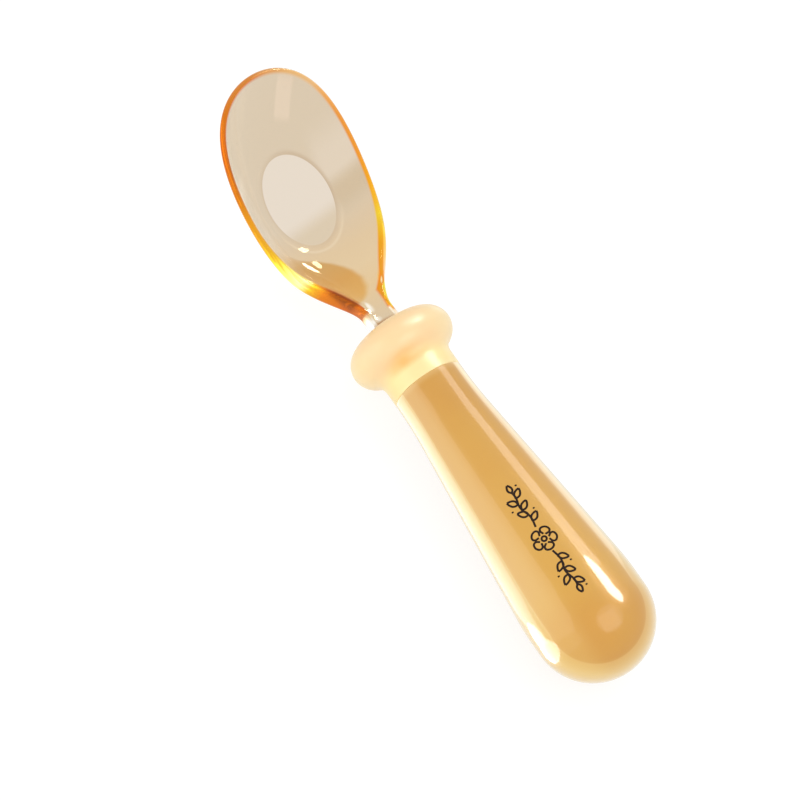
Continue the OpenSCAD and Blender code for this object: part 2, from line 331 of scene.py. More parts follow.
def make_print():
    """Leaves and a flower in thin brown lines, drawn flat and then wrapped round the grip."""
    lines = flower(FLOWER_X, 5) + sprig(FLOWER_X + SPRIG_FROM, 1) + sprig(FLOWER_X - SPRIG_FROM, -1)
    pick(*lines)
    bpy.ops.object.join()
    ink = bpy.context.object
    for v in ink.data.vertices:
        along, across, high = v.co
        r = grip_radius(along)
        angle = PRINT_SIDE - across / r
        r += high * 2 * PRINT_PROUD / LINE_W
        v.co = (along, r * math.sin(angle), r * math.cos(angle))
    begin_edit(ink)
    outward()
    end_edit()
    smooth(ink, 50)
    return finish(ink, "grip_print")


# ---------------------------------------------------------------- guard ring
def make_ring():
    """Boss hole, skirt, fillet, fat bead and dished front, with a slot for the stem."""
    boss_r = THROAT_R - SLEEVE_T
    fillet_r = THROAT_R + COLLAR_FILLET
    x_fillet = X_BEAD - math.sqrt((BEAD_R + COLLAR_FILLET) ** 2 - (fillet_r - RING_R) ** 2)
    meet = math.degrees(math.atan2(fillet_r - RING_R, x_fillet - X_BEAD))
    x_dish = X_FRONT - DISH_DEPTH
    dip = -math.degrees(math.acos((x_dish - X_BEAD) / BEAD_R))
    outline = [(X_BOSS, 0), (X_BOSS, boss_r), (GRIP_L, boss_r)]
    outline += arc((GRIP_L + SKIRT_LIP_R, THROAT_R - SKIRT_LIP_R), SKIRT_LIP_R, 180, 90, 4)
    outline += arc((x_fillet, fillet_r), COLLAR_FILLET, -90, meet - 180, 14)
    outline += arc((X_BEAD, RING_R), BEAD_R, meet, dip, 56)[1:]
    outline += [(x_dish, DISH_FLAT_R), (x_dish, 0)]
    ring = turned(outline)
    cut(ring, rounded_bar((SLOT_L, STEM_W + 2 * FIT_GAP, STEM_T + 2 * FIT_GAP),
                          ((X_BOSS + X_FRONT) / 2, 0, 0), STEM_EDGE))
    smooth(ring)
    return finish(ring, "guard_ring", node="guard_collar")


# ---------------------------------------------------------------- bowl, neck and stem
def ease(t):
    t = min(max(t, 0.0), 1.0)
    return t * t * (3 - 2 * t)


def mix(a, b, t):
    return a + (b - a) * t


def egg(angle):
    """A point of the bowl's rim, at an angle round the bowl from its tip."""
    a, tilt = math.radians(angle), math.radians(BOWL_TILT)
    c, s = math.cos(a), math.sin(a)
    along = BOWL_L / 2 * c
    return Vector((X_BOWL + along * math.cos(tilt),
                   BOWL_W / 2 * s * (1 + FULL_SHARE * c + SQUARE_SHARE * c * c),
                   BOWL_LIFT + along * math.sin(tilt) + RIM_RISE * c * c))


def egg_way(angle):
    """The way that the rim runs there."""
    way = egg(angle + 1) - egg(angle - 1)
    return way / math.hypot(way.x, way.y)


def side_z(x):
    """How high the middle of the stem's side is."""
    return -BARE_DIP * (max(x - X_FRONT, 0) / BARE_L) ** 2


def rim_places(egg_steps, flare_steps, side_steps):
    """Places along the +Y side of the edge, from the tip to the ring: (place, way, angle)."""
    slope = -2 * BARE_DIP / BARE_L
    a, d = egg(FLARE_FROM), Vector((X_BARE, STEM_W / 2, -BARE_DIP))
    b = a + RIM_PULL * egg_way(FLARE_FROM)
    c = Vector((X_BARE + STEM_PULL, STEM_W / 2, -BARE_DIP + STEM_PULL * slope))
    places = []
    for i in range(egg_steps + 1):
        angle = FLARE_FROM * i / egg_steps
        places.append((egg(angle), egg_way(angle), angle))
    for i in range(1, flare_steps + 1):
        u = i / flare_steps
        w = 1 - u
        places.append((w ** 3 * a + 3 * w * w * u * b + 3 * w * u * u * c + u ** 3 * d,
                       w * w * (b - a) + 2 * w * u * (c - b) + u * u * (d - c),
                       mix(FLARE_FROM, 180, u)))
    for i in range(1, side_steps + 1):
        x = mix(X_BARE, X_BOSS, i / side_steps)
        places.append((Vector((x, STEM_W / 2, side_z(x))), Vector((-1, 0, 0)), 180))
    return places


def neck_share(angle):
    """0 round the bowl and 1 at the stem."""
    return ease((angle - NECK_FROM) / (180 - NECK_FROM))


def edge_round(at, way, angle, steps):
    """The rounded edge of the sheet, from its top face to its underside."""
    t = mix(RIM_T, STEM_T, ease((angle - THICK_FROM) / (THICK_TO - THICK_FROM)))
    r = min(t * ROUND_SHARE, STEM_EDGE)
    lean = math.radians(RIM_LEAN * (1 - neck_share(angle)))
    out, up = Vector((way.y, -way.x, 0)).normalized(), Vector((0, 0, 1))
    half_side = t / 2 - r
    mid = at - out * (half_side * math.sin(lean) + r)
    side = half_side * (math.cos(lean) * up - math.sin(lean) * out)
    points = []
    for part in (0, 1):
        for i in range(steps + 1):
            a = lean + math.pi / 2 * (1 - part - i / steps)
            points.append(mid + (1 - 2 * part) * side
                          + r * (math.cos(a) * out + math.sin(a) * up))
    return points


def oval_at(mid, length, width, ray):
    """Where a ray from the middle of a tilted oval leaves it."""
    a = math.atan2(ray.y / width, ray.x / length)
    tilt = math.radians(FLOOR_TILT)
    return mid + Vector((length / 2 * math.cos(a) * math.cos(tilt), width / 2 * math.sin(a),
                         length / 2 * math.cos(a) * math.sin(tilt)))


class Sheet:
    """The clear sheet as columns of points, each from the oval over the edge to the foot."""

    def __init__(self, egg_steps=70, flare_steps=30, side_steps=10, end_steps=4, dish_steps=26,
                 edge_steps=7):
        self.dish_steps = dish_steps
        places = rim_places(egg_steps, flare_steps, side_steps)
        self.edges = [edge_round(*p, edge_steps) for p in places]
        flat_half_w = STEM_W / 2 - STEM_EDGE
        last = len(self.edges[0]) - 1
        ends = [[Vector((X_BOSS, flat_half_w * (1 - i / end_steps),
                         mix(STEM_T, -STEM_T, j / last) / 2)) for j in range(last + 1)]
                for i in range(1, end_steps + 1)]
        half = [self.column(e, p[2]) for e, p in zip(self.edges, places)]
        half += [self.column(e, 180) for e in ends]
        other = [[Vector((p.x, -p.y, p.z)) for p in c] for c in reversed(half[1:-1])]
        self.columns = half + other

    def lip(self, x, side, axis):
        """How far out, or how high, the edge of the top face or the underside is at x."""
        j = 0 if side > 0 else len(self.edges[0]) - 1
        table = [(e[j].x, e[j][axis]) for e in self.edges]
        if x >= table[0][0]:
            return table[0][1]
        for (xa, va), (xb, vb) in zip(table, table[1:]):
            if xb <= x <= xa:
                return mix(va, vb, (xa - x) / (xa - xb)) if xa > xb else va
        return table[-1][1]

    def trough_z(self, q, near, side):
        """How high the hollow of the neck is, from the oval's near end to the stem."""
        middle = mix(near.z, side_z(q.x) + side * STEM_T / 2,
                     ease((near.x - q.x) / (near.x - X_FRONT)))
        out = min(abs(q.y) / max(self.lip(q.x, side, 1), 0.01), 1.0)
        return mix(middle, self.lip(q.x, side, 2), out ** DISH_POWER)

    def dish(self, to, mid, length, width, angle, side):
        """Points of one face, from the flat oval to the edge."""
        start = oval_at(mid, length, width, to - mid)
        near = oval_at(mid, length, width, Vector((-1, 0, 0)))
        tilt = math.radians(BOWL_TILT)
        up = Vector((-math.sin(tilt), 0, math.cos(tilt)))
        whole = to - start
        rise = whole.dot(up) * up
        neck = neck_share(angle)
        if neck > 0:
            drop = start.z - self.trough_z(start, near, side)
            miss = to.z - self.trough_z(to, near, side)
        points = []
        for i in range(self.dish_steps + 1):
            v = i / self.dish_steps
            wall = v * (whole - rise) + mix(v, v ** DISH_POWER, 1 - CREASE_SHARE) * rise
            p = start + wall
            if neck > 0:
                q = start + v * whole
                z = self.trough_z(q, near, side) + mix(drop, miss, v)
                p = mix(p, Vector((q.x, q.y, z)), neck)
            points.append(p)
        return points

    def column(self, edge, angle):
        """One column: the top face, the edge and the underside."""
        top = self.dish(edge[0], FLOOR_MID, FLOOR_L, FLOOR_W, angle, 1)
        under = self.dish(edge[-1], FOOT_MID, FLOOR_L + 2 * FOOT_MARGIN,
                          FLOOR_W + 2 * FOOT_MARGIN, angle, -1)
        return top + edge[1:-1] + under[::-1]


def make_head():
    """A grid is rolled up into the sheet's skin, its two ovals are closed, and the tang is drawn
    out of the stem's end."""
    sheet = Sheet()
    columns = sheet.columns
    n_col, n_row = len(columns), len(columns[0])
    bpy.ops.object.select_all(action="DESELECT")
    bpy.ops.mesh.primitive_grid_add(x_subdivisions=n_row - 1, y_subdivisions=n_col, size=1)
    head = bpy.context.object
    mesh = head.data
    edge_mask = mesh.attributes.new("edge_share", "FLOAT", "POINT")
    under_mask = mesh.attributes.new("under_share", "FLOAT", "POINT")
    first_edge, last_edge = sheet.dish_steps, n_row - 1 - sheet.dish_steps
    for v in mesh.vertices:
        j, i = v.index % n_row, v.index // n_row
        v.co = columns[i % n_col][j]
        edge_mask.data[v.index].value = 1.0 if first_edge <= j <= last_edge else 0.0
        under_mask.data[v.index].value = 0.0 if j <= last_edge else 1.0
    begin_edit(head)
    bpy.ops.mesh.select_mode(type="VERT")
    bpy.ops.mesh.select_all(action="SELECT")
    bpy.ops.mesh.remove_doubles(threshold=MERGE)
    for mid in (FLOOR_MID, FOOT_MID):
        bpy.ops.mesh.select_all(action="DESELECT")
        bpy.ops.mesh.select_non_manifold(extend=False, use_wire=False, use_multi_face=False,
                                         use_non_contiguous=False, use_verts=False)
        bm = bmesh.from_edit_mesh(mesh)
        for v in bm.verts:
            v.select = v.select and abs((v.co - mid).dot(FLOOR_UP)) < ON_PLANE
        bm.select_flush_mode()
        bmesh.update_edit_mesh(mesh)
        bpy.ops.mesh.mark_sharp()
        bpy.ops.mesh.edge_face_add()
    outward()
    # the tang is a little thinner than the stem, and has two round holes
    bpy.ops.mesh.select_mode(type="FACE")
    bpy.ops.mesh.select_all(action="DESELECT")
    bm = bmesh.from_edit_mesh(mesh)
    for f in bm.faces:
        f.select = all(abs(v.co.x - X_BOSS) < ON_PLANE for v in f.verts)
    bmesh.update_edit_mesh(mesh)
    bpy.ops.mesh.inset(thickness=(STEM_T - TANG_T) / 2)
    bpy.ops.mesh.extrude_region_move(TRANSFORM_OT_translate={"value": (-TANG_L, 0, 0)})
    end_edit()
    for i in (0, 1):
        cut(head, drill(LOCK_D, 4 * TANG_T, (X_BOSS - TANG_L + LOCK_END + i * LOCK_PITCH, 0, 0)))
    smooth(head, 35)
    return finish(head, "clear_head", node="spoon_head")


# ---------------------------------------------------------------- materials
def rgb(r, g, b):
    """A colour given as 0 to 255 screen values."""
    def linear(v):
        v /= 255
        return v / 12.92 if v <= 0.04045 else ((v + 0.055) / 1.055) ** 2.4

    return (linear(r), linear(g), linear(b), 1)


def grey(share):
    return (share, share, share, 1)


class Nodes:
    """A node tree, with short calls to add and join nodes."""

    def __init__(self, tree):
        self.tree = tree
        self.tree.nodes.clear()

    def add(self, kind, inputs=None, **settings):
        node = self.tree.nodes.new("ShaderNode" + kind)
        for key, value in settings.items():
            setattr(node, key, value)
        for key, value in (inputs or {}).items():
            self.put(node.inputs[key], value)
        return node

    def put(self, socket, value):
        if isinstance(value, bpy.types.NodeSocket):
            self.tree.links.new(value, socket)
        elif isinstance(value, bpy.types.Node):
            self.tree.links.new(value.outputs[0], socket)
        else:
            socket.default_value = value

    def math(self, operation, a, b=0.0, c=0.0):
        return self.add("Math", {0: a, 1: b, 2: c}, operation=operation)

    def product(self, first, *others):
        for other in others:
            first = self.math("MULTIPLY", first, other)
        return first

    def blend(self, share, a, b, blend_type="MIX"):
        node = self.add("Mix", data_type="RGBA", blend_type=blend_type)
        self.put(node.inputs[0], share)
        self.put(node.inputs[6], a)
        self.put(node.inputs[7], b)
        return node.outputs[2]

    def span(self, value, low, high, to_low=0.0, to_high=1.0, kind="SMOOTHSTEP"):
        """Goes smoothly from one value to another while the input goes from low to high."""
        return self.add("MapRange", {"Value": value, "From Min": low, "From Max": high,
                                     "To Min": to_low, "To Max": to_high},
                        interpolation_type=kind).outputs[0]

    def spot(self, x, y, at, reach, share):
        """A soft round or oval spot: its middle, its half length and half width, its strength."""
        u = self.math("DIVIDE", self.math("SUBTRACT", x, at[0]), reach[0])
        v = self.math("DIVIDE", self.math("SUBTRACT", y, at[1]), reach[1])
        off = self.math("ADD", self.math("POWER", u, 2), self.math("POWER", v, 2))
        return self.span(off, 1.0, 0.0, 0.0, share)

    def stops(self, value, stops):
        low, high = stops[0][0], stops[-1][0]
        node = self.add("ValToRGB", {0: self.span(value, low, high, kind="LINEAR")})
        parts = node.color_ramp.elements
        while len(parts) > 1:
            parts.remove(parts[-1])
        parts[0].position, parts[0].color = 0, stops[0][1]
        for at, colour in stops[1:]:
            parts.new((at - low) / (high - low)).color = colour
        return node.outputs[0]

    def ramp(self, value, stops):
        """Colours over a value: stops are (value, red, green, blue)."""
        return self.stops(value, [(at, rgb(*colour)) for at, *colour in stops])

    def curve(self, value, stops):
        """A share over a value: stops are (value, share)."""
        return self.stops(value, [(at, grey(share)) for at, share in stops])


class Finish(Nodes):
    """A new material."""

    def __init__(self, name):
        self.material = bpy.data.materials.new(name)
        self.material.use_nodes = True
        super().__init__(self.material.node_tree)
        self.output = self.tree.nodes.new("ShaderNodeOutputMaterial")

    def along_handle(self):
        """Object coordinates turned back to the handle's own line, in millimetres."""
        mapping = self.add("Mapping", {"Vector": self.add("TexCoord").outputs["Object"],
                                       "Location": LAY.inverted().translation,
                                       "Rotation": (0, -REST_TILT, 0),
                                       "Scale": (1 / MM, 1 / MM, 1 / MM)})
        return mapping.outputs[0]

    def place(self):
        """That place's X, Y and Z."""
        return self.add("SeparateXYZ", {0: self.along_handle()}).outputs

    def mottled(self, colour, patches, scale, detail, low=0.0, high=1.0, share=1.0):
        """The group that more than one finish uses, with this finish's own values."""
        return self.add("Group", {"Place": self.along_handle(), "Scale": scale, "Detail": detail,
                                  "Low": low, "High": high, "Share": share, "Colour": colour,
                                  "Patches": patches}, node_tree=MOTTLE)

    def shine(self, **values):
        shader = self.add("BsdfPrincipled")
        for key, value in values.items():
            self.put(shader.inputs[key.replace("_", " ")], value)
        return shader

    def show(self, shader):
        self.tree.links.new(shader.outputs[0], self.output.inputs["Surface"])
        return self.material


def make_mottle():
    """Clouding or grain: patches of a second colour, and the height that goes with them."""
    group = Nodes(bpy.data.node_groups.new("mottle", "ShaderNodeTree"))
    for side, name, kind in (
            ("INPUT", "Place", "Vector"), ("INPUT", "Scale", "Float"),
            ("INPUT", "Detail", "Float"), ("INPUT", "Low", "Float"), ("INPUT", "High", "Float"),
            ("INPUT", "Share", "Float"), ("INPUT", "Colour", "Color"),
            ("INPUT", "Patches", "Color"), ("OUTPUT", "Colour", "Color"),
            ("OUTPUT", "Height", "Float")):
        group.tree.interface.new_socket(name=name, in_out=side, socket_type="NodeSocket" + kind)
    given = group.tree.nodes.new("NodeGroupInput").outputs
    result = group.tree.nodes.new("NodeGroupOutput")
    noise = group.add("TexNoise", {"Vector": given["Place"], "Scale": given["Scale"],
                                   "Detail": given["Detail"]}).outputs[0]
    patches = group.span(noise, given["Low"], given["High"], 0.0, given["Share"])
    group.put(result.inputs["Colour"], group.blend(patches, given["Colour"], given["Patches"]))
    group.put(result.inputs["Height"], noise)
    return group.tree


MOTTLE = make_mottle()

# The clear head's colours, along the handle: (x, red, green, blue). The first stop is a painted
# shadow where the stem goes into the ring.
SHEET = [(86.2, 178, 130, 86), (87, 217, 195, 163), (90, 222, 196, 158), (95, 229, 198, 152),
         (100, 227, 200, 160), (105, 224, 197, 159), (109, 220, 196, 164),
         (113.5, 217, 199, 174), (140, 217, 199, 174)]
HOLLOW_PAINTED_SHADE = [(91, 218, 178, 118), (94, 221, 168, 92), (99, 214, 158, 84), (104, 206, 160, 98)]
# The rims' colours are painted light: the orange, yellow and near white of light that is led out at
# the edge.
LEFT_RIM = [(87.7, 255, 254, 252), (88.5, 250, 228, 190), (89.5, 218, 118, 26),
            (92.7, 237, 113, 20), (95, 237, 128, 20), (97.3, 246, 142, 30), (99.7, 255, 204, 46),
            (101.4, 255, 255, 180), (103.7, 255, 252, 145), (106, 255, 230, 80),
            (108, 252, 204, 45), (111, 252, 188, 38), (116, 250, 170, 20), (121, 230, 132, 5),
            (126, 206, 106, 2), (130, 224, 112, 0), (135, 232, 128, 10), (140, 228, 148, 72)]
RIGHT_RIM = [(87.2, 240, 222, 198), (88, 232, 160, 60), (89.5, 250, 184, 20), (91, 254, 216, 25),
             (94, 250, 188, 30), (98, 248, 172, 30), (102, 252, 182, 10), (105, 254, 212, 40),
             (107, 255, 230, 60), (109.5, 255, 205, 50), (113, 254, 192, 32),
             (119, 246, 172, 58), (126, 244, 174, 80), (131, 246, 192, 125),
             (134, 242, 206, 160), (137.5, 240, 202, 150), (140, 228, 158, 92)]
# Where the painted amber shade on the hollow's wall ends, from 10 mm right of the middle (0) to 10
# mm left (1): (x, share).
HOLLOW_WIDE = 20.0
HOLLOW_END = [(91.4, 1.0), (91.7, 0.74), (92.1, 0.60), (92.6, 0.52), (93.4, 0.46), (95.1, 0.395),
              (97.5, 0.365), (99.9, 0.40), (101.4, 0.45), (103.1, 0.535), (104.6, 0.64),
              (106.4, 0.83), (109, 1.0)]
# Painted light and shade of the clear head: a reflection on the right wall and the shade below it,
# the oval's light and shade, its dark line and its ripple, a streak of reflection, soft highlights,
# the lip's brown shade, its amber and yellow light and its glint.
WALL_PAINTED_REFLECTION, WALL_PAINTED_SHADE = rgb(225, 208, 186), rgb(210, 188, 158)
OVAL_PAINTED_LIGHT, OVAL_HEEL_PAINTED_SHADE, OVAL_PAINTED_SHADE_LINE = rgb(231, 218, 202), rgb(219, 201, 175), rgb(198, 174, 147)
PAINTED_LIGHT_RIPPLE, PAINTED_REFLECTION_STREAK, PAINTED_SOFT_HIGHLIGHT = rgb(230, 209, 177), rgb(230, 209, 184), rgb(255, 250, 236)
LIP_PAINTED_SHADE, RIM_PAINTED_SHADE = rgb(202, 116, 14), rgb(162, 77, 0)
LIP_AMBER, LIP_YELLOW, LIP_PAINTED_GLINT = rgb(246, 164, 18), rgb(255, 240, 72), rgb(255, 252, 240)
WARM_WHITE, CLEAR_SHADE, WARM_GLOSS = rgb(255, 246, 225), rgb(240, 220, 185), rgb(255, 225, 170)


def oval_colour(m, x, y, sheet):
    """Painted light on the flat oval: it is lighter, and less so at its heel, which is painted in
    shade. A fine line of painted shade and a ripple of painted light run round it.
    """
    length = FLOOR_L / 2 * math.cos(math.radians(FLOOR_TILT))
    u = m.math("DIVIDE", m.math("SUBTRACT", x, X_BOWL), length)
    v = m.math("DIVIDE", y, FLOOR_W / 2)
    out = m.math("ADD", m.math("POWER", u, 2), m.math("POWER", v, 2))
    heel_side = m.span(u, 0.2, -0.9)
    line = m.product(m.span(out, 0.96, 1.0), m.span(out, 1.28, 1.02), m.span(y, 4, -5, 0.35, 0.8),
                     m.span(heel_side, 0, 1, 1.0, 0.5))
    sheet = m.blend(line, sheet, OVAL_PAINTED_SHADE_LINE)
    ripple = m.product(m.span(out, 1.25, 1.35), m.span(out, 1.5, 1.38),
                       m.span(u, -0.3, -1.0, 0.0, 0.7))
    sheet = m.blend(ripple, sheet, PAINTED_LIGHT_RIPPLE)
    heel = m.span(m.math("MULTIPLY_ADD", y, 0.15, x), 110.5, 114.5)
    return m.blend(m.span(out, 1.0, 0.98), sheet, m.blend(heel, OVAL_HEEL_PAINTED_SHADE, OVAL_PAINTED_LIGHT))


def reflection_streak_share(m, x, y):
    """A slanting paler streak near the tip: a painted reflection."""
    turn, start_x, start_y = math.radians(-24.9), 131.9, -3.5
    far, off = m.math("SUBTRACT", x, start_x), m.math("SUBTRACT", y, start_y)
    run = m.math("MULTIPLY_ADD", far, math.cos(turn), m.math("MULTIPLY", off, math.sin(turn)))
    wide = m.math("MULTIPLY_ADD", far, -math.sin(turn), m.math("MULTIPLY", off, math.cos(turn)))
    return m.product(m.span(run, -0.8, 0.8), m.span(run, 6.6, 5.0),
                     m.span(m.math("ABSOLUTE", wide), 2.0, 1.3, 0.0, 0.8))


def sheet_colour(m, x, y):
    """The two faces of the sheet."""
    sheet = m.ramp(x, SHEET)
    # painted reflection: the right wall is a little lighter, and painted shade makes it darker
    # below that
    right_wall = m.span(y, -5.5, -8.5)
    light = m.product(m.span(x, 116, 119.5), m.span(x, 130, 122), right_wall)
    sheet = m.blend(light, sheet, WALL_PAINTED_REFLECTION)
    dark = m.product(m.span(x, 109.5, 114.5), m.span(x, 119.5, 115.5), right_wall)
    sheet = m.blend(dark, sheet, WALL_PAINTED_SHADE)
    sheet = oval_colour(m, x, y, sheet)
    sheet = m.blend(reflection_streak_share(m, x, y), sheet, PAINTED_REFLECTION_STREAK)
    # painted amber shade on the hollow's deep wall on the left of the neck
    end = m.math("MULTIPLY_ADD", m.curve(x, HOLLOW_END), HOLLOW_WIDE, -HOLLOW_WIDE / 2)
    wall = m.product(m.span(m.math("SUBTRACT", y, end), -0.6, 0.9), m.span(x, 110, 103.5))
    return m.blend(wall, sheet, m.ramp(x, HOLLOW_PAINTED_SHADE))


def lip_shade_share(m, x, y):
    """Painted brown shade where the left lip of the neck turns over, along a line that runs out
    with the neck.
    """
    across = m.math("MULTIPLY_ADD", x, -0.53, m.math("ADD", y, 50.16))
    return m.product(m.span(across, 3.2, 4.4), m.span(across, 5.9, 5.35), m.span(x, 91, 92.3),
                     m.span(x, 99, 96))


def painted_stem_highlights(m, x, y):
    """Two painted soft highlights where the stem meets the left lip."""
    return m.math("ADD", m.spot(x, y, (90.4, 1.1), (1.7, 0.8), 0.85),
                  m.spot(x, y, (87.2, 1.2), (0.8, 0.8), 0.7))


def right_lip(m, x, y):
    """Painted light at the right lip beside the neck, going from amber to yellow, with a painted
    glint: its share and its colour.
    """
    # how far past the lip's inner line, which runs out faster once the neck widens
    past = m.math("SUBTRACT", 8.754, m.math("MULTIPLY_ADD", x, 0.12, y))
    widening = m.math("MAXIMUM", m.math("SUBTRACT", x, 93.3), 0.0)
    past = m.math("MULTIPLY_ADD", widening, -0.85, past)
    beyond = m.math("MAXIMUM", m.math("SUBTRACT", x, 91.4), 0.0)
    yellow = m.span(m.math("MULTIPLY_ADD", beyond, -0.35, past), 0.55, 0.95)
    # a painted glint on the lip's crest
    glint = m.spot(x, m.math("MULTIPLY_ADD", x, 0.64, y), (94.6, 55.98), (0.9, 0.3), 1.0)
    share = m.product(m.span(past, -0.35, 0.3), m.span(x, 88.2, 88.9), m.span(x, 98, 95))
    return share, m.blend(glint, m.blend(yellow, LIP_AMBER, LIP_YELLOW), LIP_PAINTED_GLINT)


def clear_amber():
    """A thin clear sheet. Light that runs along inside it comes out at its edge, in orange and
    yellow, and nearly white beside the ring: that light is painted into the rim's colour and glow."""
    m = Finish("clear_amber")
    at = m.place()
    edge = m.add("Attribute", attribute_name="edge_share").outputs["Fac"]
    under = m.add("Attribute", attribute_name="under_share").outputs["Fac"]
    # what is drawn on the underside is moved to lie behind the same on the top
    x = m.math("MULTIPLY_ADD", under, -0.5, at["X"])
    y = m.math("MULTIPLY_ADD", under, 0.5, at["Y"])
    # painted brown shade where the left lip turns over, on the sheet and on the rim
    brown = lip_shade_share(m, x, y)
    sheet = m.blend(brown, sheet_colour(m, x, y), LIP_PAINTED_SHADE)
    sheet = m.blend(painted_stem_highlights(m, x, y), sheet, PAINTED_SOFT_HIGHLIGHT)
    rim = m.blend(m.span(y, -2.5, 2.5), m.ramp(x, RIGHT_RIM), m.ramp(x, LEFT_RIM))
    rim = m.blend(brown, rim, RIM_PAINTED_SHADE)
    # A ray's first two faces give it the colour, half of it each, and what runs on inside the
    # sheet stays clear. A ray that meets the rim first takes the rim's whole colour there.
    path = m.add("LightPath")
    depth = path.outputs["Ray Depth"]
    first = m.math("LESS_THAN", depth, 0.5)
    second = m.math("LESS_THAN", depth, 1.5)
    near = m.product(m.span(x, 96, 94), m.span(y, 1, -1))
    body = m.blend(second, grey(1.0), sheet)
    inner = m.blend(second, grey(1.0), m.blend(near, rim, sheet))
    lip = m.blend(first, inner, m.blend(1.0, rim, rim, "MULTIPLY"))
    share, by_neck = right_lip(m, x, y)
    colour = m.blend(m.product(share, first), m.blend(edge, body, lip),
                     m.blend(1.0, by_neck, by_neck, "MULTIPLY"))
    # painted glow: emission stands in for light that is led along inside the sheet and out at the
    # left rim, painted brighter on part of that rim
    late = m.math("MULTIPLY", m.math("GREATER_THAN", depth, 2.5), 0.6)
    bright = m.product(m.span(x, 98.5, 101), m.span(x, 109, 104), edge,
                       m.span(y, 1, 3, 0.0, 0.4), first)
    glow = m.blend(m.math("MAXIMUM", late, bright), grey(0.0), m.blend(first, WARM_WHITE, rim))
    shader = m.shine(Base_Color=colour, Roughness=0.04, IOR=1.49, Transmission_Weight=1.0,
                     Specular_Tint=WARM_GLOSS, Emission_Color=glow, Emission_Strength=0.36)
    veil = m.add("BsdfTransparent", {"Color": CLEAR_SHADE})
    return m.show(m.add("MixShader", {0: path.outputs["Is Shadow Ray"], 1: shader, 2: veil}))


def soft_cream():
    """Satin rubber, lit through a little, with that light painted in as a warm glow."""
    m = Finish("soft_cream")
    at = m.place()
    x, y, z = at["X"], at["Y"], at["Z"]
    past_grip = m.math("SUBTRACT", x, GRIP_L)
    skirt = m.span(past_grip, 6.2, 2.8)
    colour = m.blend(skirt, rgb(252, 214, 160), rgb(255, 232, 160))
    # painted glow: the thick bead is painted warmer where it turns down to the skirt, for light
    # that comes through it
    off = m.math("ABSOLUTE", m.math("MULTIPLY_ADD", z, -0.68, y))
    painted_warm_glow = m.product(m.span(off, 8.0, 0.0), m.span(z, 0, 4), m.span(past_grip, 2.6, 4.4),
                     m.span(past_grip, 7.2, 4.6))
    colour = m.blend(painted_warm_glow, colour, rgb(255, 180, 74))
    # and is painted paler at both sides, a painted sheen
    side = m.math("ABSOLUTE", m.math("MULTIPLY_ADD", z, -0.53, y))
    colour = m.blend(m.span(side, 6, 13, 0.0, 0.6), colour, rgb(255, 238, 176))
    colour = m.mottled(colour, rgb(252, 220, 172), 0.12, 2.0, 0.35, 0.7, 0.3).outputs["Colour"]
    grain = m.mottled(colour, colour, 6.0, 4.0)
    bump = m.add("Bump", {"Height": grain.outputs["Height"], "Strength": 0.02,
                          "Distance": 0.0002})
    # the faint warm emission is a painted glow, for light scattered inside the rubber
    shader = m.shine(Base_Color=colour, Roughness=0.4, Normal=bump,
                     Coat_Weight=0.6, Coat_Roughness=0.2, Subsurface_Weight=0.1,
                     Subsurface_Radius=(1.0, 0.8, 0.6), Subsurface_Scale=0.002,
                     Sheen_Weight=0.4, Sheen_Roughness=0.5, Sheen_Tint=rgb(255, 232, 180),
                     Emission_Color=rgb(255, 214, 140), Emission_Strength=0.06)
    return m.show(shader)


# The grip's colour along the handle, the way in which its deepest colour faces, away from the
# painted reflections, and the way to its left side, which is painted paler for the light from the
# left.
GRIP = [(0, 211, 147, 45), (9, 213, 150, 47), (18, 220, 164, 57), (40, 219, 161, 60),
        (58, 214, 154, 54), (71, 212, 152, 54)]
DEEP_SIDE, LEFT_SIDE = (-0.183, 0.332, 0.925), (0, 0.883, -0.470)


def gloss_caramel():
    """Glossy opaque plastic."""
    m = Finish("gloss_caramel")
    at = m.place()
    x = at["X"]
    colour = m.mottled(m.ramp(x, GRIP), rgb(223, 171, 68), 0.06, 2.0, 0.3, 0.7, 0.35)
    # painted reflection and highlights: the skin is painted paler at its sides, at the butt and by
    # the ring, for the white table and the lamps mirrored in it
    back = m.math("MINIMUM", m.math("SUBTRACT", x, BUTT_R), 0.0)
    out = m.add("VectorMath", {0: m.add("CombineXYZ", {0: back, 1: at["Y"], 2: at["Z"]})},
                operation="NORMALIZE")
    facing, left = (m.add("VectorMath", {0: out, 1: way}, operation="DOT_PRODUCT").outputs["Value"]
                    for way in (DEEP_SIDE, LEFT_SIDE))
    painted_pale = m.product(m.span(facing, 0.63, 0.60), m.span(x, 7, 15, 0.3, 0.38))
    for part in (m.span(facing, 0.66, 0.25, 0.0, 0.55, kind="LINEAR"),
                 m.product(m.span(x, 60, 69, 0.0, 0.6), m.span(facing, 0.62, 0.4)),
                 m.span(x, 69, 71.5, 0.0, 0.35), m.span(left, 0.12, 0.5, 0.0, 0.17)):
        painted_pale = m.math("ADD", painted_pale, part)
    painted_pale = m.product(m.math("MINIMUM", painted_pale, 0.85), m.span(facing, 0.05, -0.6, 1.0, 0.4))
    cream = m.blend(m.span(x, 10, 24), rgb(244, 207, 120), rgb(252, 227, 163))
    shader = m.shine(Base_Color=m.blend(painted_pale, colour.outputs["Colour"], cream), Roughness=0.3,
                     Specular_IOR_Level=0.3, Coat_Weight=1.0, Coat_Roughness=0.06, Coat_IOR=1.5,
                     Sheen_Weight=0.6, Sheen_Roughness=0.35, Sheen_Tint=rgb(255, 246, 220))
    return m.show(shader)


def print_brown():
    m = Finish("print_brown")
    colour = m.mottled(rgb(24, 12, 6), rgb(44, 24, 12), 4.0, 3.0).outputs["Colour"]
    return m.show(m.shine(Base_Color=colour, Roughness=0.5, Specular_IOR_Level=0.2))


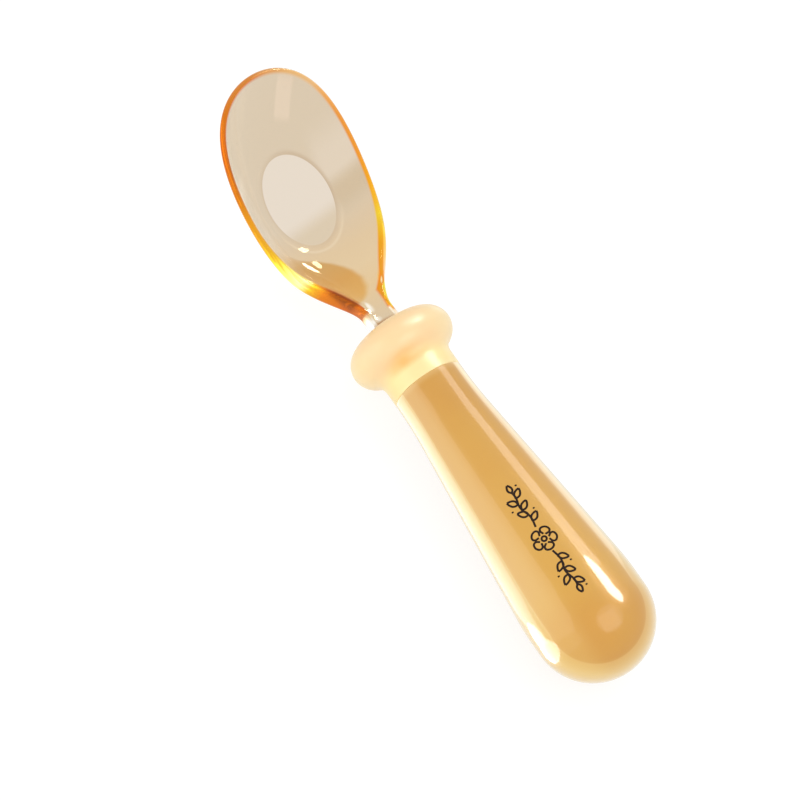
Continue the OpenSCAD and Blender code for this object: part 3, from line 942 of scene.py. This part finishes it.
def core_cream():
    m = Finish("core_cream")
    colour = m.mottled(rgb(230, 205, 165), rgb(240, 220, 185), 0.8, 3.0).outputs["Colour"]
    return m.show(m.shine(Base_Color=colour, Roughness=0.6))


def dress(obj, material):
    obj.data.materials.clear()
    obj.data.materials.append(material)


# ---------------------------------------------------------------- stage
TABLE_SIZE, TABLE_GAP = 8, 0.0001
TABLE_PLAIN, TABLE_SEEN, TABLE_GLOW, SKY_ON_MATTE = grey(0.8), grey(0.25), 0.82, 0.76


def make_stage():
    """A floor that the camera sees white, with the spoon's shadow, and that is plain white in
    gloss and through the clear sheet."""
    bpy.ops.object.select_all(action="DESELECT")
    bpy.ops.mesh.primitive_plane_add(size=TABLE_SIZE, location=(0, 0, -TABLE_GAP))
    floor = bpy.context.object
    floor.name = "floor"
    m = Finish("floor_white")
    path = m.add("LightPath").outputs
    plain = m.add("BsdfDiffuse", {"Color": TABLE_PLAIN})
    seen = m.add("BsdfDiffuse", {"Color": TABLE_SEEN})
    glow = m.add("Emission", {"Strength": TABLE_GLOW})
    white = m.add("Emission", {"Strength": 1.0})
    shown = m.add("AddShader", {0: seen, 1: glow})
    by_camera = m.add("MixShader", {0: path["Is Camera Ray"], 1: plain, 2: shown})
    through = m.math("MAXIMUM", path["Is Glossy Ray"], path["Is Transmission Ray"])
    dress(floor, m.show(m.add("MixShader", {0: through, 1: by_camera, 2: white})))
    floor.visible_glossy = False


def lamp(name, sides, alongs, radiance, aim=(45, 0, 0), distance=0.8, gives="gloss", on=(),
         shape="RECTANGLE"):
    """A soft box. sides and alongs are the angles it fills, seen from aim, off the camera's line:
    across the handle to the right, and along it to the bowl. It gives gloss or light, to all the
    pieces or to those in on."""
    a, b = (math.radians(sum(pair) / 2) for pair in (sides, alongs))
    wide, long = (2 * distance * math.tan(math.radians(pair[1] - pair[0]) / 2)
                  for pair in (sides, alongs))
    way = (TO_CAMERA * math.cos(a) + ACROSS * math.sin(a)) * math.cos(b) + ALONG * math.sin(b)
    data = bpy.data.lights.new(name, "AREA")
    data.shape, data.size, data.size_y = shape, wide, long
    data.energy = radiance * math.pi * wide * long
    box = bpy.data.objects.new(name, data)
    bpy.context.scene.collection.objects.link(box)
    back = direction(way)
    y = (direction(ALONG) - back * direction(ALONG).dot(back)).normalized()
    x = y.cross(back)
    box.matrix_world = (Matrix.Translation(place(aim) + back * distance)
                        @ Matrix((x, y, back)).transposed().to_4x4())
    box.visible_transmission = False
    box.visible_glossy = gives == "gloss"
    box.visible_diffuse = gives == "light"
    if on:
        lit = bpy.data.collections.new(name)
        for piece in on:
            lit.objects.link(piece)
        box.light_linking.receiver_collection = lit


def make_sky():
    """A white sky, a little weaker on matte surfaces."""
    world = bpy.data.worlds.new("studio")
    bpy.context.scene.world = world
    world.use_nodes = True
    m = Nodes(world.node_tree)
    matte = m.add("LightPath").outputs["Is Diffuse Ray"]
    strength = m.span(matte, 0.0, 1.0, 1.0, SKY_ON_MATTE, kind="LINEAR")
    sky = m.add("Background", {"Color": grey(1.0), "Strength": strength})
    m.put(m.add("OutputWorld").inputs["Surface"], sky)


def make_lamps(head, ring, sleeve, ink):
    handle, grip, collar, bowl = (sleeve, ring, ink), (sleeve,), (ring,), (head,)
    lamp("left_box", (-62, -20), (-45, 45), 0.85, gives="light")
    lamp("right_fill", (30, 78), (-45, 45), 0.5, gives="light")
    lamp("left_panel", (-94, -35), (2, 46), 0.5, on=handle)
    lamp("left_panel_end", (-94, -35), (-22, 46), 0.3, on=handle)
    lamp("left_low", (-150, -104), (4, 34), 1.6, on=grip)
    lamp("low_butt", (-138, -84), (-16, 12), 4.2, aim=(13, 4, 0), distance=0.12, on=grip,
         shape="ELLIPSE")
    lamp("right_low", (122, 150), (4, 24), 0.8, on=handle)
    lamp("right_strip", (65, 84), (22, 42), 2.6, on=grip)
    lamp("ring_strip", (42, 88), (18, 54), 1.8, on=collar, shape="ELLIPSE")
    lamp("belly_spot", (54.5, 71.5), (-4, 34), 12.5, aim=(16, 0, 0), distance=0.12, on=grip,
         shape="ELLIPSE")
    lamp("bead_spot", (50, 75), (9, 29), 5.6, aim=(79, 0, 0), distance=0.2, on=collar,
         shape="ELLIPSE")
    lamp("butt_box", (2, 52), (-36, 10), 0.6, aim=(12, 0, 0), distance=0.2, on=handle,
         shape="ELLIPSE")
    lamp("butt_core", (8, 42), (-32, 0), 0.7, aim=(12, 0, 0), distance=0.2, on=handle)
    lamp("glint_heel", (70, 75), (13, 18), 26.0, aim=(108, 0, 0), distance=0.3, on=bowl)
    lamp("glint_left", (95.5, 102.5), (22, 30), 24.0, aim=(105, 0, 0), distance=0.3, on=bowl,
         shape="ELLIPSE")
    lamp("glint_right", (77, 87), (26, 31), 18.0, aim=(104, 0, 0), distance=0.3, on=bowl,
         shape="ELLIPSE")


set_camera()
head = make_head()
ring = make_ring()
sleeve = make_sleeve()
ink = make_print()
dress(head, clear_amber())
dress(ring, soft_cream())
dress(sleeve, gloss_caramel())
dress(ink, print_brown())
dress(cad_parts["grip_core"], core_cream())
make_stage()
make_sky()
make_lamps(head, ring, sleeve, ink)

scene = bpy.context.scene
scene.view_settings.view_transform = "Standard"
